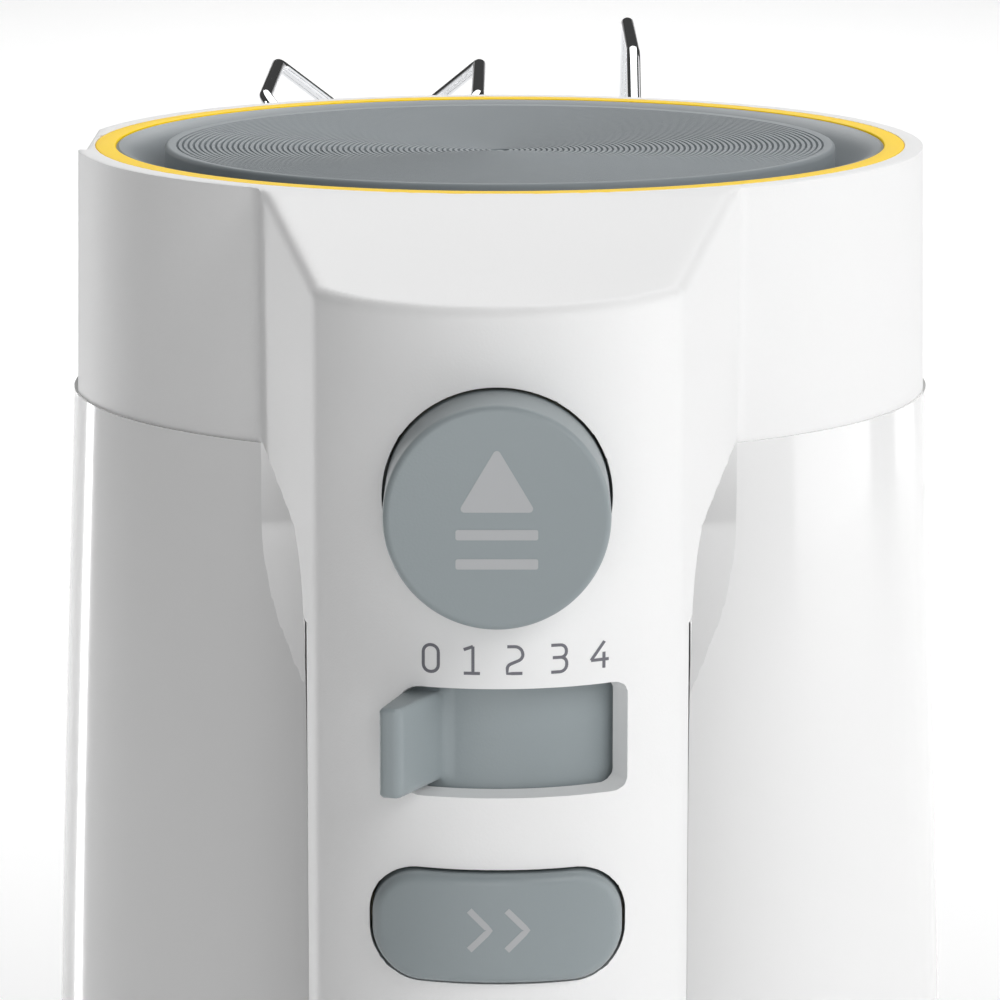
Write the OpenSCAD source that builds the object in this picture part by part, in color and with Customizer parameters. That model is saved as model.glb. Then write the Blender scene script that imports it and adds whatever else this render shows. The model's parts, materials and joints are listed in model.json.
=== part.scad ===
/* [Body] */
// Height of the mixer from its heel to its nose ring
body_length = 190; // [188:1:200]
// Outer radius of the collar at the nose
nose_radius = 46; // [45.5:0.1:46.5]
// Largest radius of the motor housing
belly_radius = 48.6; // [48.2:0.1:50]
// Radius of the flat heel
heel_radius = 40; // [38:0.5:42]
// Wall thickness of the moulded shells
wall = 2.4; // [2:0.1:2.6]
// Depth of the collar below the nose ring
collar_depth = 26.4; // [25:0.1:27]
// Distance of the flat finger recess from the motor axis
recess_y = 39.2; // [39:0.1:40.5]
// Thickness of the rubber pad under the heel
pad_thickness = 1.2; // [1:0.1:2]

/* [Handle] */
// Width of the handle where its flanks meet its crowned top
handle_width = 34.8; // [34.4:0.1:35.6]
// Radius of the crowned top
crown_radius = 20; // [19:0.5:24]
// Distance of the handle's top from the motor axis
handle_top = 100; // [99:0.5:102]
// Distance of the handle's underside from the motor axis
handle_under = 75; // [74:0.5:76]
// Width of the neck where it meets the collar
neck_width = 48; // [46:0.5:49]
// Fall of the handle's end face from the nose ring to the handle's top
end_drop = 3.3; // [2:0.1:4]

/* [Nose] */
// Outer radius of the coloured ring
ring_outer = 44; // [43.5:0.1:44]
// Inner radius of the coloured ring
ring_inner = 41.8; // [41.5:0.1:42]
// Radius of the disc in the nose bowl
disc_radius = 36.5; // [35:0.5:37]
// Depth of the trench between the disc and the ring
trench_depth = 4; // [3:0.2:4]

/* [Controls] */
// Diameter of the eject button
eject_d = 20.8; // [19:0.1:21.2]
// Travel of the eject button
eject_travel = 6; // [4:0.5:6]
// Turn of the speed slider from one speed to the next
speed_step = 13.5; // [10:0.5:14]
// Width of the turbo button
turbo_width = 23.4; // [20:0.1:24]
// Height of the turbo button
turbo_height = 10.6; // [9:0.1:11]
// Travel of the turbo button
turbo_travel = 2; // [1:0.1:2]

/* [Beaters] */
// Distance between the two spindles
spindle_spacing = 34; // [33.8:0.1:34.4]
// Height of the spindles below the nose ring
spindle_depth = 22; // [21.5:0.1:22.5]
// Radius of the wire cage
cage_radius = 19.5; // [19:0.1:19.7]
// Thickness of the beater wire
wire_d = 1.8; // [1.6:0.1:2]
// Distance of the cage's far end from the motor axis
cage_end = 178; // [176:1:182]

/* [Drive] */
// Teeth on each worm gear
gear_teeth = 30; // [28:1:32]
// Radius of the motor shaft
shaft_r = 2.5; // [2.3:0.1:2.7]
// Radius of the armature
armature_r = 16.6; // [15:0.1:16.8]
// Height of the lamination stack
stack_height = 35; // [30:1:38]

/* [Hidden] */
$fn = 64;

// Colours
white = [0.93, 0.93, 0.93];
grey = [0.57, 0.60, 0.61];
dark_grey = [0.30, 0.31, 0.32];
yellow = [1.0, 0.80, 0.12];
steel = [0.75, 0.76, 0.78];
copper = [0.72, 0.42, 0.22];
brass = [0.80, 0.66, 0.32];
black = [0.08, 0.08, 0.09];
resin = [0.90, 0.87, 0.78];

// Clearances
fit_gap = 0.05;
shell_gap = 0.15;
press_gap = 0.02;
eps = 0.01;
far = 120;

// Body
collar_z = body_length - collar_depth;
spindle_z = body_length - spindle_depth;
spindle_x = spindle_spacing / 2;
collar_draft = 0.35;
collar_inner = ring_outer + fit_gap;
facet_end_z = body_length - 39.8;
ramp_angle = 18;
ramp_drop = (belly_radius + 1 - recess_y) / tan(ramp_angle);

// Handle
corner_x = handle_width / 2;
crown_y = -(handle_top - crown_radius);
split_y = -80;
split_z = body_length - 36;
bridge_top = 34;
gland_z = 22;
gland_flange_r = 8;
gland_bore_r = 3.6;

// Controls
eject_z = body_length - 21.1;
eject_proud = eject_travel + 2;
slider_z = body_length - 43.9;
slider_y = -(handle_top - 18.2);
slider_rest = -27;
slot_height = 10;
slot_half_width = 11.2;
plate_outer = corner_x - 1.9;
plate_inner = plate_outer - 1;
plate_reach = 73;
knob_height = 8.4;
knob_reach = 25.2;
turbo_proud = 1.2;
turbo_z = body_length - 61.2;
rod_low = spindle_z + 1;
rod_high = spindle_z + 7;
rod_half_width = 4;
fork_y = -30;

// Beaters and spindles
sleeve_bore = 3.55;
sleeve_outer = 5.5;
beater_shaft_r = sleeve_bore - fit_gap;
bush_bore = sleeve_outer + fit_gap;
bush_outer = 8;
sleeve_start = -14.5;
sleeve_end = 43;
beater_inner_end = -8.7;
hub_start = 84;
hub_end = 94;
wire_start = hub_end + 0.6;
cage_near = 116;
cage_far = 156;

// Socket block
block_half_width = 32;
block_low = spindle_z - 15;
block_high = spindle_z + 14;
block_back = 45.5;

// Drive
gear_pitch_r = spindle_x - 4.2;
worm_pitch = 2 * PI * gear_pitch_r / gear_teeth;
worm_core_r = 3.6;
worm_swing = 0.8;
worm_turns = 7;
gear_tip_r = spindle_x - 3.8;
gear_root_r = spindle_x - 4.7;
stack_low = 70;
stack_high = stack_low + stack_height;
stator_r = 33;
frame_half_width = 30;
frame_low = spindle_z - 19;

// Rounded outlines: each corner is [x, y, radius]
function unit(v) = v / norm(v);
function corner(a, b, c, r, n) =
    let (
        u = unit(a - b), v = unit(c - b), half = acos(u * v) / 2,
        m = b + unit(u + v) * r / sin(half),
        p = b + u * r / tan(half) - m, q = b + v * r / tan(half) - m,
        start = atan2(p.y, p.x),
        turn = (atan2(q.y, q.x) - start + 540) % 360 - 180
    )
    [for (i = [0:n]) m + r * [cos(start + turn * i / n), sin(start + turn * i / n)]];
function flat(p) = [p.x, p.y];
function rounded(pts, n = 5) =
    let (count = len(pts))
    [for (i = [0:count - 1])
        each (pts[i][2] > 0
            ? corner(flat(pts[(i + count - 1) % count]), flat(pts[i]),
                     flat(pts[(i + 1) % count]), pts[i][2], n)
            : [flat(pts[i])])];
function arc(centre, r, a0, a1, n) =
    [for (i = [0:n]) centre + r * [cos(a0 + (a1 - a0) * i / n), sin(a0 + (a1 - a0) * i / n)]];

// Extrusions along X, from an outline in Y and Z, and along Y, from one in X and Z
module along_x(half) {
    rotate([90, 0, 90]) translate([0, 0, -half]) linear_extrude(2 * half) children();
}
module along_y(y0, y1) {
    translate([0, y1, 0]) rotate([90, 0, 0]) linear_extrude(y1 - y0) children();
}
module rod_y(x, z, y0, y1, r) {
    translate([x, y1, z]) rotate([90, 0, 0]) cylinder(h = y1 - y0, r = r);
}
module tube_z(z0, z1, r_out, r_in) {
    translate([0, 0, z0]) difference() {
        cylinder(h = z1 - z0, r = r_out);
        translate([0, 0, -1]) cylinder(h = z1 - z0 + 2, r = r_in);
    }
}
module tube_y(x, z, y0, y1, r_out, r_in) {
    difference() {
        rod_y(x, z, y0, y1, r_out);
        rod_y(x, z, y0 - 1, y1 + 1, r_in);
    }
}
module box(low, high) {
    translate(low) cube(high - low);
}

// A round wire swept along a path; ref is a direction that the path never follows
module wire(path, r, ref, sides = 8) {
    last = len(path) - 1;
    rings = [for (i = [0:last])
        let (
            t = unit(path[min(i + 1, last)] - path[max(i - 1, 0)]),
            b = unit(cross(t, ref)), c = cross(t, b)
        )
        each [for (k = [0:sides - 1])
            path[i] + r * (cos(360 * k / sides) * b + sin(360 * k / sides) * c)]];
    skin = [for (i = [0:last - 1]) for (k = [0:sides - 1])
        let (m = (k + 1) % sides)
        each [[i * sides + k, i * sides + m, (i + 1) * sides + m],
              [i * sides + k, (i + 1) * sides + m, (i + 1) * sides + k]]];
    start = [[for (k = [sides - 1:-1:0]) k]];
    end = [[for (k = [0:sides - 1]) last * sides + k]];
    polyhedron(points = rings, faces = concat(start, skin, end));
}

// Compression spring along Y
module spring_y(x, z, y0, y1, r, wire_r, turns) {
    steps = 12;
    path = [for (i = [0:turns * steps])
        let (a = 360 * i / steps)
        [x + r * cos(a), y0 + wire_r + (y1 - y0 - 2 * wire_r) * i / (turns * steps),
         z + r * sin(a)]];
    wire(path, wire_r, [0, 1, 0], 6);
}

// ---- Outer shape of the motor housing
module barrel(inset, low, high) {
    rotate_extrude() polygon([
        [0, low],
        [heel_radius - inset, low],
        [heel_radius + 5.5 - inset, low + 7],
        [belly_radius - 0.6 - inset, 34],
        [belly_radius - inset, 62],
        [belly_radius - inset, 95],
        [nose_radius + 1.9 - inset, 126],
        [nose_radius + 0.1 - inset, collar_z],
        [nose_radius + 0.1 - inset, high],
        [0, high]
    ]);
}
module finger_recess(inset) {
    along_x(far / 2) polygon([
        [-recess_y + inset, body_length + 1],
        [-recess_y + inset, facet_end_z],
        [-recess_y + inset - ramp_drop * tan(ramp_angle), facet_end_z - ramp_drop],
        [-far / 2, facet_end_z - ramp_drop],
        [-far / 2, body_length + 1]
    ]);
}
module block_window(gap) {
    box([-block_half_width - gap, 0, block_low - gap],
        [block_half_width + gap, far / 2, block_high + gap]);
}
module vents() {
    for (a = [-60:12:60])
        rotate([0, 0, a])
            rotate([-90, 0, 0]) translate([0, -26, 30]) linear_extrude(30)
                polygon(rounded([[-1.3, -9, 1.2], [1.3, -9, 1.2], [1.3, 9, 1.2], [-1.3, 9, 1.2]]));
}
module stator_ribs() {
    intersection() {
        barrel(wall / 2, pad_thickness, collar_z);
        for (a = [45:90:315]) rotate([0, 0, a])
            box([stator_r + fit_gap, -1.5, stack_low - 6], [far / 2, 1.5, stack_high + 2]);
    }
}
module motor_housing() {
    color(white) difference() {
        union() {
            difference() {
                barrel(0, pad_thickness, collar_z - shell_gap);
                finger_recess(0);
                difference() {
                    barrel(wall, pad_thickness + wall, collar_z + 1);
                    finger_recess(wall);
                }
            }
            // spigot inside the collar
            difference() {
                tube_z(collar_z - 7, collar_z + 8, nose_radius - wall + 0.2, nose_radius - wall - 2);
                box([-far, -far, 0], [far, -recess_y + 8, body_length]);
                tube_z(collar_z - shell_gap, collar_z + 9, nose_radius, collar_inner - 0.25);
            }
            stator_ribs();
        }
        block_window(shell_gap);
        vents();
        rod_y(0, 16, -far, -30, 7);
        for (side = [-1, 1])
            translate([side * 26, 0, 0]) cylinder(h = 8, r = 1.7);
    }
}

// ---- Neck, handle and rear bridge as one closed loop around the finger gap
module loop_side(inset) {
    polygon(rounded([
        [0, body_length - inset, 0],
        [-nose_radius, body_length - inset, 0],
        [-handle_top + inset, body_length - end_drop - inset, 3],
        [-handle_top + inset, pad_thickness + inset, 14 - inset],
        [0, pad_thickness + inset, 0]
    ]));
}
// The crowned top between the flanks, as an arc from left to right
function crown_arc(inset) =
    let (a = acos((corner_x - inset) / (crown_radius - inset)))
    arc([0, crown_y], crown_radius - inset, 180 + a, 360 - a, 24);
module loop_plan(inset) {
    polygon(concat(
        [[neck_width / 2 - inset, -recess_y], [neck_width / 2 - inset, 0],
         [-neck_width / 2 + inset, 0], [-neck_width / 2 + inset, -recess_y]],
        crown_arc(inset)));
}
module finger_gap(inset) {
    along_x(far / 2) polygon(rounded([
        [-recess_y + 14, collar_z + inset, 0],
        [-recess_y, collar_z + inset, 0],
        [-62, collar_z - 4.4 + inset, 8],
        [-handle_under - inset, split_z + 3 + inset, 7],
        [-handle_under - inset, bridge_top - inset, 9],
        [-recess_y + 14, bridge_top - inset, 0]
    ]));
}
module loop_outer() {
    difference() {
        intersection() {
            along_x(far / 2) loop_side(0);
            linear_extrude(body_length + 1) loop_plan(0);
        }
        finger_gap(0);
        // room for the motor housing and for the ring in the collar
        barrel(-shell_gap, pad_thickness - 1, collar_z);
        finger_gap_floor();
        translate([0, 0, collar_z - 1]) cylinder(h = collar_depth + 2, r = collar_inner);
    }
}
module finger_gap_floor() {
    box([-far, -recess_y - 6, bridge_top], [far, 0, collar_z]);
}
module loop_cavity() {
    difference() {
        intersection() {
            along_x(far / 2) loop_side(wall);
            linear_extrude(body_length + 1) loop_plan(wall);
        }
        finger_gap(wall);
        box([-far, -recess_y - 9, -1], [far, 1, bridge_top + wall]);
    }
}
module top_side() {
    box([-far, -far, -1], [far, split_y, body_length + 1]);
    box([-far, -far, split_z], [far, 0, body_length + 1]);
}
module collar() {
    difference() {
        translate([0, 0, collar_z])
            cylinder(h = collar_depth, r1 = nose_radius + collar_draft, r2 = nose_radius);
        translate([0, 0, collar_z - 1]) cylinder(h = collar_depth + 2, r = collar_inner);
    }
}
module capsule(width, height, grow) {
    polygon(rounded([
        [-width / 2 - grow, -height / 2 - grow, height / 2 - 0.6],
        [width / 2 + grow, -height / 2 - grow, height / 2 - 0.6],
        [width / 2 + grow, height / 2 + grow, height / 2 - 0.6],
        [-width / 2 - grow, height / 2 + grow, height / 2 - 0.6]
    ]));
}
module control_holes() {
    rod_y(0, eject_z, -far, split_y - 6, eject_d / 2 + 0.2);
    translate([0, 0, slider_z]) along_y(-far, -84)
        polygon(rounded([
            [-slot_half_width, -slot_height / 2, 1.5], [slot_half_width, -slot_height / 2, 1.5],
            [slot_half_width, slot_height / 2, 1.5], [-slot_half_width, slot_height / 2, 1.5]
        ]));
    translate([0, 0, turbo_z]) along_y(-far, -86) capsule(turbo_width, turbo_height, 0.2);
    rod_y(0, gland_z, -far, -86, gland_flange_r + shell_gap);
}
module spring_shelf() {
    difference() {
        intersection() {
            box([-far, split_y, split_z + 3], [far, split_y + 2, body_length]);
            along_x(far / 2) loop_side(wall / 2);
            linear_extrude(body_length + 1) loop_plan(wall / 2);
        }
        finger_gap(wall / 2);
        box([-rod_half_width - 0.4, -far, rod_low - 0.4],
            [rod_half_width + 0.4, 0, rod_high + 0.4]);
    }
}
module upper_housing() {
    color(white) difference() {
        union() {
            intersection() {
                loop_outer();
                top_side();
            }
            collar();
        }
        loop_cavity();
        control_holes();
        block_window(shell_gap);
    }
    color(white) spring_shelf();
}
module grip_shell() {
    color(white) difference() {
        loop_outer();
        translate([0, shell_gap, -shell_gap]) top_side();
        loop_cavity();
        rod_y(0, gland_z, -far, -86, gland_flange_r + shell_gap);
        for (z = [58, 118]) {
            rod_y(0, z, -far, 0, 1.7);
            rod_y(0, z, -handle_under - 1.2, 0, 3.2);
        }
    }
}

// ---- Nose
module accent_ring() {
    color(yellow) rotate_extrude() polygon([
        [ring_inner, body_length - 8], [ring_outer, body_length - 8],
        [ring_outer, body_length - 0.5], [ring_outer - 0.5, body_length],
        [ring_inner + 0.5, body_length], [ring_inner, body_length - 0.5]
    ]);
}
module nose_bowl() {
    rim = ring_inner - fit_gap;
    floor_z = body_length - trench_depth;
    color(dark_grey) rotate_extrude() polygon([
        [0, floor_z - 1.8], [rim, floor_z - 1.8], [rim, body_length - 0.4],
        [rim - 1, body_length - 0.4], [disc_radius + 1.8, floor_z], [0, floor_z]
    ]);
}
module nose_disc() {
    color(grey) rotate_extrude() polygon([
        [0, body_length - trench_depth + fit_gap],
        [disc_radius, body_length - trench_depth + fit_gap],
        [disc_radius, body_length - 0.7], [disc_radius - 0.7, body_length],
        [disc_radius - 2, body_length], [0, body_length - 0.8]
    ]);
}

// ---- Heel
module heel_pad() {
    color(dark_grey) linear_extrude(pad_thickness) {
        circle(r = heel_radius - 2);
        polygon(rounded([[-13, -handle_top + 13, 6], [13, -handle_top + 13, 6], [13, 0, 0],
                         [-13, 0, 0]]));
    }
}
module cord_gland() {
    color(dark_grey) difference() {
        union() {
            rod_y(0, gland_z, -handle_top - 3, -96, gland_flange_r);
            rod_y(0, gland_z, -96 - eps, -88, 6);
        }
        rod_y(0, gland_z, -far, -80, gland_bore_r);
    }
}

// ---- Beater sockets at the back
module socket_block() {
    color(white) difference() {
        along_y(30, block_back) polygon(rounded([
            [-block_half_width, block_low, 6], [block_half_width, block_low, 6],
            [block_half_width, block_high, 6], [-block_half_width, block_high, 6]
        ]));
        box([-block_half_width + wall, 0, block_low + wall],
            [block_half_width - wall, block_back - 3, block_high - wall]);
        for (side = [-1, 1])
            rod_y(side * spindle_x, spindle_z, 0, far, 8.6);
    }
}
module socket_rings() {
    color(dark_grey) for (side = [-1, 1]) {
        difference() {
            union() {
                rod_y(side * spindle_x, spindle_z, 42, 46.5, 8.55);
                rod_y(side * spindle_x, spindle_z, 41, 42.3, 10);
            }
            rod_y(side * spindle_x, spindle_z, 30, far, sleeve_outer + 0.4);
        }
    }
}
module housing_screws() {
    color(steel) {
        for (z = [58, 118]) {
            rod_y(0, z, -handle_under - 1.1, -handle_under + 0.6, 3);
            rod_y(0, z, -handle_under - 2.3, -handle_under - 1.1 + eps, 1.6);
        }
        for (side = [-1, 1]) translate([side * 26, 0, pad_thickness + fit_gap])
            cylinder(h = 6, r = 1.6);
    }
}

// ---- Gearbox
module gearbox_frame() {
    back = 24;
    color(resin) difference() {
        union() {
            for (y = [-14, back])
                box([-frame_half_width, y, frame_low], [frame_half_width, y + 4, spindle_z + 15.5]);
            box([-frame_half_width, -14, frame_low - 3], [frame_half_width, back + 4, frame_low + eps]);
            box([-frame_half_width, -14, spindle_z + 13.6],
                [frame_half_width, back + 4, spindle_z + 15.6]);
        }
        for (side = [-1, 1])
            rod_y(side * spindle_x, spindle_z, -20, 40, bush_outer + press_gap);
        translate([0, 0, frame_low - 10]) cylinder(h = 20, r = 6 + press_gap);
        translate([0, 0, spindle_z]) cylinder(h = 40, r = 5 + press_gap);
    }
}
module spindle_bushes() {
    color(brass) for (side = [-1, 1]) for (y = [-14, 24])
        tube_y(side * spindle_x, spindle_z, y, y + 4, bush_outer, bush_bore);
}
module nose_bush() {
    color(brass) tube_z(spindle_z + 11.5, spindle_z + 15.6, 5, shaft_r + fit_gap);
}
module front_bush() {
    color(brass) tube_z(frame_low - 7, frame_low, 6, shaft_r + fit_gap);
}
module spindle(side) {
    color(steel) tube_y(side * spindle_x, spindle_z, sleeve_start, sleeve_end, sleeve_outer,
                        sleeve_bore);
}
// A gear whose first tooth points to the worm, or half a tooth beside it
module worm_gear(side) {
    step = 360 / gear_teeth;
    tip = 0.35;
    root = 0.75;
    outline = [for (i = [0:gear_teeth - 1])
        let (a = (side > 0 ? 180 : step / 2) + i * step)
        each [for (p = [[gear_root_r, -root], [gear_tip_r, -tip], [gear_tip_r, tip],
                        [gear_root_r, root]])
            [p.x * cos(a) - p.y * sin(a), p.x * sin(a) + p.y * cos(a)]]];
    color(resin) translate([side * spindle_x, 0, spindle_z]) difference() {
        union() {
            along_y(-3, 3) polygon(outline);
            rod_y(0, 0, -6, 8, 8);
        }
        rod_y(0, 0, -10, 10, sleeve_outer + press_gap);
    }
}

// ---- Beaters
module beater_shaft(side) {
    color(steel) {
        rod_y(side * spindle_x, spindle_z, beater_inner_end, hub_start, beater_shaft_r);
    }
}
module beater_hub(side) {
    color(steel) rod_y(side * spindle_x, spindle_z, hub_start, hub_end, 5);
}
// Half of a wire loop as [distance from the axis, y]; the other half is its mirror image
function half_loop(end_y) = rounded([
    [3.6, wire_start, 0],
    [cage_radius, cage_near, 9],
    [cage_radius, cage_far, 7],
    [4, end_y, 5],
    [0, end_y, 0]
], 4);
module beater_wires(side) {
    first_angle = side < 0 ? 45 : 0;
    color(steel) for (k = [0, 1]) {
        a = first_angle + 90 * k;
        half = half_loop(cage_end - k * (wire_d + 0.2));
        out = [cos(a), 0, sin(a)];
        count = len(half);
        path = [for (i = [0:2 * count - 2])
            let (p = i < count ? half[i] : half[2 * count - 2 - i], s = i < count ? 1 : -1)
            [side * spindle_x, 0, spindle_z] + s * p.x * out + [0, p.y, 0]];
        wire(path, wire_d / 2, [-sin(a), 0, cos(a)]);
    }
}

// ---- Motor
module motor_shaft() {
    color(steel) translate([0, 0, 30]) cylinder(h = spindle_z + 14.5 - 30, r = shaft_r);
}
// Each ring of the worm is a circle whose radius swells towards the thread's crest. The crest
// faces away from the right gear's tooth at the height of the spindles.
module drive_worm() {
    length = worm_turns * worm_pitch;
    sides = 16;
    count = 10 * worm_turns;
    rings = [for (i = [0:count])
        let (crest = 180 + 360 * worm_turns * (i / count - 0.5))
        each [for (k = [0:sides - 1])
            let (a = 360 * k / sides, r = worm_core_r + worm_swing * cos(a - crest))
            [r * cos(a), r * sin(a), length * i / count]]];
    skin = [for (i = [0:count - 1]) for (k = [0:sides - 1])
        let (m = (k + 1) % sides)
        each [[i * sides + k, (i + 1) * sides + m, i * sides + m],
              [i * sides + k, (i + 1) * sides + k, (i + 1) * sides + m]]];
    low = [[for (k = [0:sides - 1]) k]];
    high = [[for (k = [sides - 1:-1:0]) count * sides + k]];
    color(brass) translate([0, 0, spindle_z - length / 2]) difference() {
        polyhedron(points = rings, faces = concat(low, skin, high));
        translate([0, 0, -1]) cylinder(h = length + 2, r = shaft_r + press_gap);
    }
}
module armature_core() {
    color(steel) translate([0, 0, stack_low]) linear_extrude(stack_height) difference() {
        circle(r = armature_r);
        for (i = [0:11]) rotate(30 * i) translate([armature_r - 5, -0.9]) square([8, 1.8]);
        circle(r = shaft_r + press_gap);
    }
}
module armature_winding() {
    color(copper) {
        tube_z(stack_low - 8, stack_low - press_gap, 14, 4);
        tube_z(stack_high + press_gap, stack_high + 8, 14, 4);
    }
}
module commutator() {
    color(copper) translate([0, 0, 46]) linear_extrude(12) difference() {
        circle(r = 8.5);
        for (i = [0:17]) rotate(20 * i) translate([7.4, -0.25]) square([2, 0.5]);
        circle(r = shaft_r + press_gap);
    }
}
module cooling_fan() {
    color(dark_grey) difference() {
        union() {
            translate([0, 0, 118]) cylinder(h = 12, r = 8);
            translate([0, 0, 118]) cylinder(h = 1.5, r = 30);
            for (i = [0:9]) rotate([0, 0, 36 * i]) box([7, -0.6, 119], [30, 0.6, 129]);
        }
        translate([0, 0, 110]) cylinder(h = 30, r = shaft_r + press_gap);
    }
}
module motor_stator() {
    color(steel) translate([0, 0, stack_low]) linear_extrude(stack_height) difference() {
        intersection() {
            circle(r = stator_r);
            square([60, 62], center = true);
        }
        circle(r = armature_r + 0.6);
        for (x = [-22, 17.5]) for (y = [-20.2, 14.8]) translate([x, y]) square([4.5, 5.4]);
        for (side = [-1, 1]) translate([side * 26, 0]) circle(r = 2.1);
    }
}
module field_coils() {
    color(copper) for (side = [-1, 1]) scale([1, side, 1]) difference() {
        box([-21.8, 15, stack_low - 6], [21.8, 20, stack_high + 6]);
        box([-17.8, 14, stack_low - 0.1], [17.8, 21, stack_high + 0.1]);
    }
}
module rear_bracket() {
    color(steel) difference() {
        union() {
            box([-30, -6, 34], [30, 6, 38]);
            translate([0, 0, 32]) cylinder(h = 9, r = 9);
        }
        translate([0, 0, 30]) cylinder(h = 14, r = 6 + press_gap);
        for (side = [-1, 1]) translate([side * 26, 0, 30]) cylinder(h = 10, r = 2.1);
    }
}
module rear_bush() {
    color(brass) tube_z(33, 40, 6, shaft_r + fit_gap);
}
module motor_bolts() {
    color(steel) for (side = [-1, 1]) translate([side * 26, 0, 0]) {
        translate([0, 0, 33]) cylinder(h = stack_high + 3 - 33, r = 2);
        translate([0, 0, 30]) cylinder(h = 4 - press_gap, r = 3.6);
        translate([0, 0, stack_high + press_gap]) cylinder(h = 2.6, r = 3.6, $fn = 6);
    }
}
module brush_plate() {
    color(dark_grey) difference() {
        tube_z(42, 45, 31, 11);
        for (side = [-1, 1]) translate([side * 26, 0, 30]) cylinder(h = 30, r = 2.1);
    }
}
module brush_holders() {
    color(brass) for (side = [-1, 1]) scale([side, 1, 1]) difference() {
        box([9.4, -3.6, 45 + press_gap], [23, 3.6, 55.6]);
        box([9, -2.7, 48.9], [24, 2.7, 54.7]);
    }
}
module carbon_brushes() {
    color(black) for (side = [-1, 1]) scale([side, 1, 1])
        box([8.6, -2.6, 49], [17, 2.6, 54.6]);
}

// ---- Controls
module crown(inset) {
    linear_extrude(body_length)
        polygon(concat(crown_arc(inset), [[corner_x, 0], [-corner_x, 0]]));
}
module eject_button() {
    color(grey) {
        rod_y(0, eject_z, -handle_top - eject_proud, -92, eject_d / 2);
        intersection() {
            rod_y(0, eject_z, -92.4, -90.9, 11.3);
            crown(wall + 0.3);
        }
    }
}
module ejector_fork() {
    color(resin) {
        box([-rod_half_width, -90.9 + press_gap, rod_low], [rod_half_width, fork_y + eps, rod_high]);
        box([-spindle_x - 3, fork_y, spindle_z - 3], [spindle_x + 3, fork_y + 4, rod_high]);
        for (side = [-1, 1])
            rod_y(side * spindle_x, spindle_z, fork_y + 4 - eps, beater_inner_end - 0.3, 2.6);
    }
}
module eject_spring() {
    color(steel) spring_y(0, (rod_low + rod_high) / 2, -90.8, split_y - 0.1, 6.6, 0.5, 4);
}
// A curved plate around the slider's axis, half_angle to each side of its top
module sector(r_out, r_in, half_angle, z0, z1) {
    rotate([0, 0, -90 - half_angle]) rotate_extrude(angle = 2 * half_angle)
        translate([r_in, z0]) square([r_out - r_in, z1 - z0]);
}
module speed_slider() {
    color(grey) translate([0, slider_y, 0]) rotate([0, 0, slider_rest]) {
        sector(plate_outer, plate_inner, plate_reach, slider_z - 6.2, slider_z + 6.2);
        // a ridge that leans to one side
        translate([0, 0, slider_z - knob_height / 2]) linear_extrude(knob_height)
            polygon(rounded([[-3.2, -plate_inner - 0.3, 0], [2.4, -plate_inner - 0.3, 0],
                             [2.8, -knob_reach, 0.6], [0.9, -knob_reach, 0.6]], 3));
    }
}
module speed_wiper() {
    color(copper) translate([0, slider_y, slider_z]) rotate([0, 0, slider_rest + 64])
        box([-1.2, -plate_inner + 0.15, -6], [1.2, -plate_inner + 0.5, 6]);
}
module slider_guide() {
    color(resin) translate([0, slider_y, 0]) for (z = [slider_z - 8, slider_z + 6.4])
        sector(plate_outer, plate_inner - 2.6, 70, z, z + 1.6);
}
module turbo_button() {
    color(grey) {
        intersection() {
            translate([0, 0, turbo_z]) along_y(-far, -94.4) capsule(turbo_width, turbo_height, 0);
            crown(-turbo_proud);
        }
        intersection() {
            translate([0, 0, turbo_z]) along_y(-94.5, -93.4) capsule(turbo_width, turbo_height, 0);
            crown(wall + 0.3);
        }
        rod_y(0, turbo_z, -94, -90.2, 2);
    }
}
module switch_carrier() {
    color(resin) difference() {
        box([-12.5, -88, turbo_z - 9], [12.5, -86.8, turbo_z + 9]);
        rod_y(0, turbo_z, -90, -84, 2.6);
    }
}
module turbo_switch() {
    color(black) {
        box([-6.4, -86.75, turbo_z - 5], [6.4, split_y - 0.25, turbo_z + 5]);
        rod_y(0, turbo_z, -87.9, -86.75 + eps, 1.2);
    }
}
module turbo_spring() {
    color(steel) spring_y(0, turbo_z, -93.35, -88.05, 3.2, 0.35, 4);
}
module switch_board() {
    color([0.35, 0.45, 0.25])
        box([-11, split_y - 0.2, turbo_z - 35], [11, split_y + 1.4, slider_z + 7]);
}

motor_housing();
upper_housing();
grip_shell();
accent_ring();
nose_bowl();
nose_disc();
heel_pad();
cord_gland();
socket_block();
socket_rings();
housing_screws();
gearbox_frame();
spindle_bushes();
nose_bush();
front_bush();
rear_bush();
rear_bracket();
motor_bolts();
motor_stator();
field_coils();
brush_plate();
brush_holders();
carbon_brushes();
switch_board();
slider_guide();
switch_carrier();
turbo_switch();
motor_shaft();
armature_core();
armature_winding();
commutator();
cooling_fan();
drive_worm();
spindle(-1);  // left_spindle
worm_gear(-1);  // left_worm_gear
spindle(1);  // right_spindle
worm_gear(1);  // right_worm_gear
beater_shaft(-1);  // left_beater_shaft
beater_hub(-1);  // left_beater_hub
beater_wires(-1);  // left_beater_wires
beater_shaft(1);  // right_beater_shaft
beater_hub(1);  // right_beater_hub
beater_wires(1);  // right_beater_wires
eject_button();
ejector_fork();
eject_spring();
speed_slider();
speed_wiper();
turbo_button();
turbo_spring();
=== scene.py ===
"""A hand mixer standing on its heel, nose up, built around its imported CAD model.

Shapes are worked out in millimetres. A solid is a function of x, y and z that is negative inside it,
and contour() turns it into a mesh with crisp edges and exact normals.
"""

import json
import math

import bpy
import numpy as np
from mathutils import Matrix, Vector


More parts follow.
